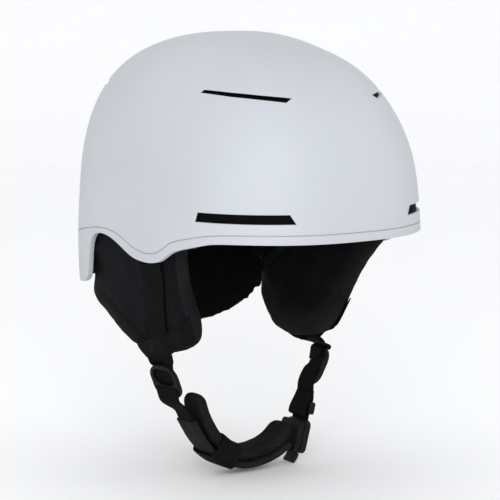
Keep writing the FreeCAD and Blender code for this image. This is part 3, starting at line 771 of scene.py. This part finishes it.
def make_hem(tree):
    """Cloth band round the foot of the left pad, open at the top edge."""
    top = flat_path(HEM_TOP, 2.0)
    count = len(top)
    low_all = flat_path(HEM_BOTTOM, 0.5)
    low = [low_all[round(i * (len(low_all) - 1) / (count - 1))] for i in range(count)]
    rows = 14
    outer, inner = [], []
    for r in range(rows + 1):
        share = r / rows
        for i in range(count):
            p = top[i].lerp(low[i], share)
            base = on_pad(tree, p.x, p.y, 0.0, -5.0)
            web = distance_to_line(np.array([[p.x, p.y]]), WEB_STATIONS)[0][0]
            ridge = 2.4 * math.exp(-(web / 11.5) ** 4)
            cloth = max(pad_offset(np.array([base[:]]))[0], -5.0)
            end = min(i, count - 1 - i) / 3
            tuck = 3.0 * math.exp(-end ** 2)
            fold = 0.35 * math.sin(p.x * 0.35 + p.y * 0.2) * share
            lift = max(cloth, ridge - 3.0 * max(0.0, share - 0.75)) + 1.4 + fold - tuck
            outer.append(pad_point(p.x, p.y, lift))
            inner.append(pad_point(p.x, p.y, lift - 1.3))
    verts = outer + inner
    faces = []
    offset = len(outer)
    for r in range(rows):
        for i in range(count - 1):
            a, b = r * count + i, r * count + i + 1
            c, d = a + count, b + count
            faces.append((a, b, d, c))
            faces.append((offset + a, offset + c, offset + d, offset + b))
    for i in range(count - 1):
        faces.append((i, offset + i, offset + i + 1, i + 1))
        a = rows * count + i
        faces.append((a, a + 1, offset + a + 1, offset + a))
    for r in range(rows):
        a, c = r * count, (r + 1) * count
        faces.append((a, c, offset + c, offset + a))
        a, c = a + count - 1, c + count - 1
        faces.append((a, offset + a, offset + c, c))
    hem = build("hem_band_left", verts, faces, HEM)
    fix_normals(hem)
    bevel = hem.modifiers.new("soft_edge", "BEVEL")
    bevel.width = 0.45 * MM
    bevel.segments = 2
    bevel.limit_method = "ANGLE"
    bevel.angle_limit = math.radians(50)
    baked(hem)
    hem.data.polygons.foreach_set("use_smooth", [True] * len(hem.data.polygons))
    return hem


def stitch_row(name, places, normals, length=2.0, gap=1.2, radius=0.22, material=None):
    """Row of raised thread stitches along a line of surface points."""
    verts, faces = [], []
    travelled = 0.0
    next_start = 0.0
    for i in range(1, len(places)):
        a, b = places[i - 1], places[i]
        step = (b - a).length
        if step < 1e-6:
            continue
        while travelled + step >= next_start:
            share = (next_start - travelled) / step
            middle = a.lerp(b, max(0.0, share))
            tangent = (b - a).normalized()
            normal = normals[i]
            side = tangent.cross(normal).normalized()
            ring_count, around = 5, 6
            base = len(verts)
            for r in range(ring_count):
                t = r / (ring_count - 1) * 2 - 1
                swell = math.sqrt(max(0.05, 1 - t * t))
                centre = middle + tangent * (t * length / 2) + normal * (radius * 0.9 * (1 - t * t))
                for k in range(around):
                    angle = math.tau * k / around
                    verts.append(centre + side * (radius * swell * math.cos(angle))
                                 + normal * (radius * swell * math.sin(angle)))
            for r in range(ring_count - 1):
                for k in range(around):
                    m = (k + 1) % around
                    faces.append((base + r * around + k, base + r * around + m,
                                  base + (r + 1) * around + m, base + (r + 1) * around + k))
            faces.append(tuple(base + k for k in range(around - 1, -1, -1)))
            faces.append(tuple(base + (ring_count - 1) * around + k for k in range(around)))
            next_start += length + gap
        travelled += step
    return build(name, verts, faces, material or THREAD)


pad_left = make_ear_pad()
pad_tree = tree_of(pad_left)
hem_left = make_hem(pad_tree)
pad_normal = Vector((1.0, 0, -PAD_LEAN)).normalized()


def pad_stitches(name, line, lift=0.25):
    dense = flat_path(line, 1.0)
    places = [on_pad(pad_tree, p.x, p.y, lift) for p in dense]
    return stitch_row(name, places, [pad_normal] * len(places))


def shifted(line, up):
    """A (forward, up) line moved square to itself."""
    out = []
    for i, p in enumerate(line):
        a, b = line[max(i - 1, 0)], line[min(i + 1, len(line) - 1)]
        run, rise = b[0] - a[0], b[1] - a[1]
        length = math.hypot(run, rise)
        out.append((p[0] + up * rise / length, p[1] - up * run / length))
    return out


rear_stitches = pad_stitches("seam_stitches_rear_left", shifted(REAR_SEAM[2:], -3.0))
front_stitches = pad_stitches("seam_stitches_front_left", shifted(FRONT_SEAM, -2.6))
hem_tree = tree_of(hem_left)
hem_places = [on_pad(hem_tree, p.x, p.y - 2.4, 0.2) for p in flat_path(HEM_TOP[1:], 1.0)]
hem_stitches = stitch_row("hem_stitches_left", hem_places, [pad_normal] * len(hem_places))



def hang_left(points):
    """Moves N by 3 points: the foot tucked in, the front top corner and the heel spread."""
    forward, up = -points[:, 1], points[:, 2]
    foot = np.clip((-48 - up) / 42, 0, 1)
    corner = np.clip((forward - 8) / 28, 0, 1) * np.clip((up + 53) / 37, 0, 1)
    heel = np.clip((-forward - 5) / 35, 0, 1) * np.clip((-up - 62) / 26, 0, 1)
    points[:, 0] += CORNER_OUT * corner - FOOT_TUCK * foot * foot * (3 - 2 * foot)
    points[:, 1] += HEEL_BACK * heel - CORNER_FORWARD * corner
    points[:, 2] += 0.6 * np.maximum(-97 - up, 0)
    return points


for obj, slot, cad in ((pad_left, "pad_shell_fabric", ("ear_pad_fixed", "ear_pad_free")),
                       (hem_left, "hem_fabric", ("ear_pad_hem",)),
                       (rear_stitches, "pad_shell_fabric", ()),
                       (front_stitches, "pad_shell_fabric", ()),
                       (hem_stitches, "hem_fabric", ())):
    right = mirrored_copy(obj, obj.name.replace("left", "right"))
    obj.data.vertices.foreach_set("co", (hang_left(points_of(obj.data) / MM) * MM).ravel())
    obj.data.update()
    finish_piece(obj, [n + "_left" for n in cad], flex=1)
    finish_piece(right, [n + "_right" for n in cad], flex=-1)

for side in (1, -1):
    word = "left" if side > 0 else "right"
    finish_piece(make_side_strap(side),
                 ["side_strap_upper_" + word, "side_strap_lower_" + word], flex=side)

# ---- straps below the pads ------------------------------------------------------------------------


def ribbed_strap(name, points, across=ACROSS, width=WEBBING_WIDTH, thick=WEBBING_THICK, widths=None,
                 rib=0.16, step=0.4, material=WEBBING, corner=0.7):
    """Webbing through points; across may be a list of directions spread along it."""
    line = smooth_path(points, step)
    if isinstance(across, list):
        spread = []
        for i in range(len(line)):
            t = i / (len(line) - 1) * (len(across) - 1)
            k = min(int(t), len(across) - 2)
            spread.append(across[k].lerp(across[k + 1], t - k))
        across = spread
    rings = strap_rings(line, across, width, thick, rib=rib, rib_pitch=RIB_PITCH, corner=corner,
                        widths=widths)
    return build(name, *loft(rings), material)


for side in (1, -1):
    word = "left" if side > 0 else "right"
    if side > 0:
        rear_points = [Vector((67.0, 21.0, -88.0)), Vector((69.0, 18.0, -95.0))]
        turns = [Vector((-0.5, 0.85, -0.2)), Vector((-0.45, 0.88, -0.2))]
    else:
        rear_points = [Vector((-68.0, 40.0, -96.0)), Vector((-68.0, 31.0, -100.0))]
        turns = [Vector((-0.1, 0.75, -0.6)), Vector((-0.1, 0.8, -0.5))]
    rear_points += [divider_point(DIVIDER_HEIGHT / 2 + 2.5, -4.8, 17.5 - 1.5 * side, side),
                    divider_point(DIVIDER_HEIGHT / 2 - 2.4, -5.6, 15.0, side),
                    divider_point(5.0, -4.8, 13.0, side)]
    turns += [Vector((0.1 * side, 1, -0.25)), Vector((0.2 * side, 1, 0)), Vector((0.25 * side, 1, 0))]
    rear_strap = ribbed_strap("rear_strap_" + word, rear_points, width=16.0 + 2.0 * side, thick=1.5,
                              across=turns)
    finish_piece(fix_normals(rear_strap), ["rear_strap_lower_" + word],
                 body="ear_flap_" + word)


def strap_point(x, z, y=STRAP_Y):
    return Vector((x, y, z))


turned_across = Vector((-math.sin(DIVIDER_TURN), math.cos(DIVIDER_TURN), 0))
chin_web = ribbed_strap("chin_webbing_piece",
                        [divider_point(-4.2, 1.9, side=-1),
                         divider_point(-DIVIDER_HEIGHT / 2 + 3.5, 2.9, side=-1),
                         divider_point(-DIVIDER_HEIGHT / 2 - 2.0, 2.2, side=-1),
                         strap_point(-57.5, -140.5), strap_point(-52.0, -150.0),
                         strap_point(-46.5, -158.5)],
                        across=[turned_across] * 3 + [ACROSS] * 3,
                        widths=lambda t: 21.4 - 1.4 * min(1.0, t / 0.4))
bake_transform(chin_web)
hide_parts("chin_webbing")

sleeve_points = [strap_point(x, z) for x, z in [(-52.4, -149.4), (-42, -166), (-31, -178), (-18, -186.3),
                                                (-3, -190.6), (13, -190), (28, -186), (40.5, -179.5)]]
sleeve = ribbed_strap("chin_sleeve", sleeve_points, width=24.0, thick=5.0, rib=0.0, step=1.2,
                      material=SLEEVE, corner=2.2)
finish_piece(sleeve, ["chin_strap_sleeve"], body="chin_strap")

chin_pad_points = [strap_point(x, z) for x, z in [(-44.5, -128.5), (-41.8, -142.0), (-34.8, -158.0),
                                                  (-24.8, -171.0), (-14.0, -178.0), (-1.8, -181.6),
                                                  (11.6, -181.0), (24.6, -177.3), (34.0, -170.5),
                                                  (40.0, -161.5)]]
pad_line = smooth_path(chin_pad_points, 1.5)
pad_rings = strap_rings(pad_line, ACROSS, 26.0, 9.2, corner=3.6, round_ends=9.0)
chin_pad = build("chin_pad_piece", *loft(pad_rings), FLEECE)
inflate(chin_pad, 2.0, 1.0)
finish_piece(chin_pad, ["chin_pad"], body="chin_strap")

keeper_line = smooth_path([strap_point(-31.5, -170.2), strap_point(-22.8, -177.2),
                           strap_point(-13.4, -181.9)], 1.2)
keeper_rings_out, keeper_rings_in = [], []
for p, _, side, rise in frames_along(keeper_line, ACROSS):
    for keeper_rings, outline in ((keeper_rings_out, rounded_section(31.0, 21.4, 6.0, 6)),
                                  (keeper_rings_in, rounded_section(28.8, 19.2, 5.0, 6))):
        keeper_rings.append([p + side * a + rise * b for a, b in outline])
verts, faces = loft(keeper_rings_out + keeper_rings_in[::-1], capped=False)
ring_size = len(keeper_rings_out[0])
last_ring = (len(keeper_rings_out) * 2 - 1) * ring_size
for j in range(ring_size):
    k = (j + 1) % ring_size
    faces.append((last_ring + j, last_ring + k, k, j))
keeper = fix_normals(build("keeper_loop", verts, faces, HEM))
finish_piece(keeper, ["strap_keeper"], body="chin_strap")

buckle_normal = Vector((math.cos(BUCKLE_LEAN), 0, -math.sin(BUCKLE_LEAN)))
buckle_down = Vector((-math.sin(BUCKLE_LEAN), 0, -math.cos(BUCKLE_LEAN)))
strap_low = BUCKLE + buckle_normal * 3.2 - buckle_down * (BUCKLE_LENGTH / 2 - 3.0)
buckle_strap = ribbed_strap("buckle_strap_piece",
                            [divider_point(-1.0, -1.6), divider_point(-6.0, -3.4),
                             divider_point(-DIVIDER_HEIGHT / 2 - 1.0, -3.0),
                             strap_point(63.3, -146.0), strap_point(60.5, -153.0), strap_low],
                            widths=lambda t: 18.0 + 2.0 * min(1.0, t / 0.35))
finish_piece(buckle_strap, ["buckle_strap"], body="buckle_side_strap")
loose_end = ribbed_strap("strap_loose_end",
                         [strap_point(64.0, -139.0), strap_point(60.3, -145.5),
                          strap_point(56.4, -151.5), strap_point(54.6, -156.5),
                          strap_point(56.0, -158.2)], width=21.0)
finish_piece(loose_end, body="buckle_side_strap")

# ---- inner pads -----------------------------------------------------------------------------------


def soft_copy(node, name, voxel, cap, material=LINING):
    """Stuffed pad made from a plain CAD block."""
    copy = bpy.data.objects.new(name, nodes[node].data.copy())
    scene.collection.objects.link(copy)
    copy.data.materials.clear()
    copy.data.materials.append(material)
    inflate(copy, voxel, cap)
    body = nodes[node]["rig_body"]
    finish_piece(copy, [node], body=body)
    return copy


soft_copy("brow_pad", "brow_cushion", 3.0, 1.2)
soft_copy("crown_pad_middle", "crown_cushion_middle", 3.0, 1.2)
soft_copy("crown_pad_side_left", "crown_cushion_left", 3.0, 1.2)
soft_copy("crown_pad_side_right", "crown_cushion_right", 3.0, 1.2)
soft_copy("nape_pad", "nape_cushion", 2.6, 1.5)

# ---- hard parts: small round edges on the CAD pieces ----------------------------------------------

for node_name, width in {
        "outer_shell": 0.4, "rim_moulding": 1.2, "strap_divider_left": 0.7,
        "strap_divider_right": 0.7, "strap_slider": 0.6, "buckle_base": 1.0, "buckle_cap": 1.4,
        "buckle_pull_tab": 0.6, "dial_housing": 0.6, "cradle_frame": 0.5,
        "goggle_retainer_base": 0.5, "goggle_loop": 0.6}.items():
    weld = nodes[node_name].modifiers.new("weld", "WELD")
    weld.merge_threshold = 0.00001
    bevel = nodes[node_name].modifiers.new("edge", "BEVEL")
    bevel.width = width * MM
    bevel.segments = 3
    bevel.limit_method = "ANGLE"
    bevel.angle_limit = math.radians(40)
    bevel.harden_normals = True

# ---- stage, light and camera ------------------------------------------------------------------------

floor_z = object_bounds()[0].z - 0.0005
floor_mesh = bpy.data.meshes.new("floor")
bm = bmesh.new()
bend, depth, width = 0.8, 2.2, 6.0
profile = [(-3.0, 0.0), (depth, 0.0)]
for turn in range(15, 91, 15):
    profile.append((depth + bend * math.sin(math.radians(turn)), bend * (1 - math.cos(math.radians(turn)))))
profile.append((depth + bend, 4.0))
rows = [[bm.verts.new((x, y, z + floor_z)) for y, z in profile] for x in (-width, width)]
for i in range(len(profile) - 1):
    bm.faces.new((rows[0][i], rows[1][i], rows[1][i + 1], rows[0][i + 1]))
bm.to_mesh(floor_mesh)
bm.free()
floor = bpy.data.objects.new("floor", floor_mesh)
floor.rotation_euler = (0, 0, CAMERA_AZIMUTH)
scene.collection.objects.link(floor)
floor_nodes = Nodes("floor_pale")
floor_nodes.colour(floor_nodes.noise(3.0),
                   [(0.3, (0.955, 0.957, 0.96, 1)), (0.7, (0.962, 0.964, 0.967, 1))])
floor_nodes.set(Roughness=0.9, Specular_IOR_Level=0.1)
floor_mesh.materials.append(floor_nodes.material)

world = bpy.data.worlds.new("studio")
world.use_nodes = True
world.node_tree.nodes["Background"].inputs["Color"].default_value = (0.985, 0.99, 1.0, 1)
world.node_tree.nodes["Background"].inputs["Strength"].default_value = 0.96
scene.world = world


def area_light(name, azimuth, elevation, distance, size, power):
    """Soft light aimed at the object from a direction."""
    a, e = math.radians(azimuth), math.radians(elevation)
    lamp = bpy.data.lights.new(name, "AREA")
    lamp.shape = "DISK"
    lamp.size = size
    lamp.energy = power
    obj = bpy.data.objects.new(name, lamp)
    back = Vector((math.sin(a) * math.cos(e), -math.cos(a) * math.cos(e), math.sin(e)))
    obj.location = back * distance
    obj.rotation_euler = back.to_track_quat("Z", "Y").to_euler()
    scene.collection.objects.link(obj)


area_light("key", -36.0, 20.0, 2.2, 1.2, 19.0)

camera_back = Vector((math.sin(CAMERA_AZIMUTH) * math.cos(CAMERA_ELEVATION),
                      -math.cos(CAMERA_AZIMUTH) * math.cos(CAMERA_ELEVATION),
                      math.sin(CAMERA_ELEVATION)))
camera = bpy.data.cameras.new("camera")
camera.sensor_width = 36.0
camera.lens = 148.07
camera.shift_x = -0.002
camera.shift_y = -0.048
camera_object = bpy.data.objects.new("camera", camera)
camera_object.location = camera_back * 1.6
camera_object.rotation_euler = camera_back.to_track_quat("Z", "Y").to_euler()
scene.collection.objects.link(camera_object)
scene.camera = camera_object
scene.view_settings.view_transform = "Standard"
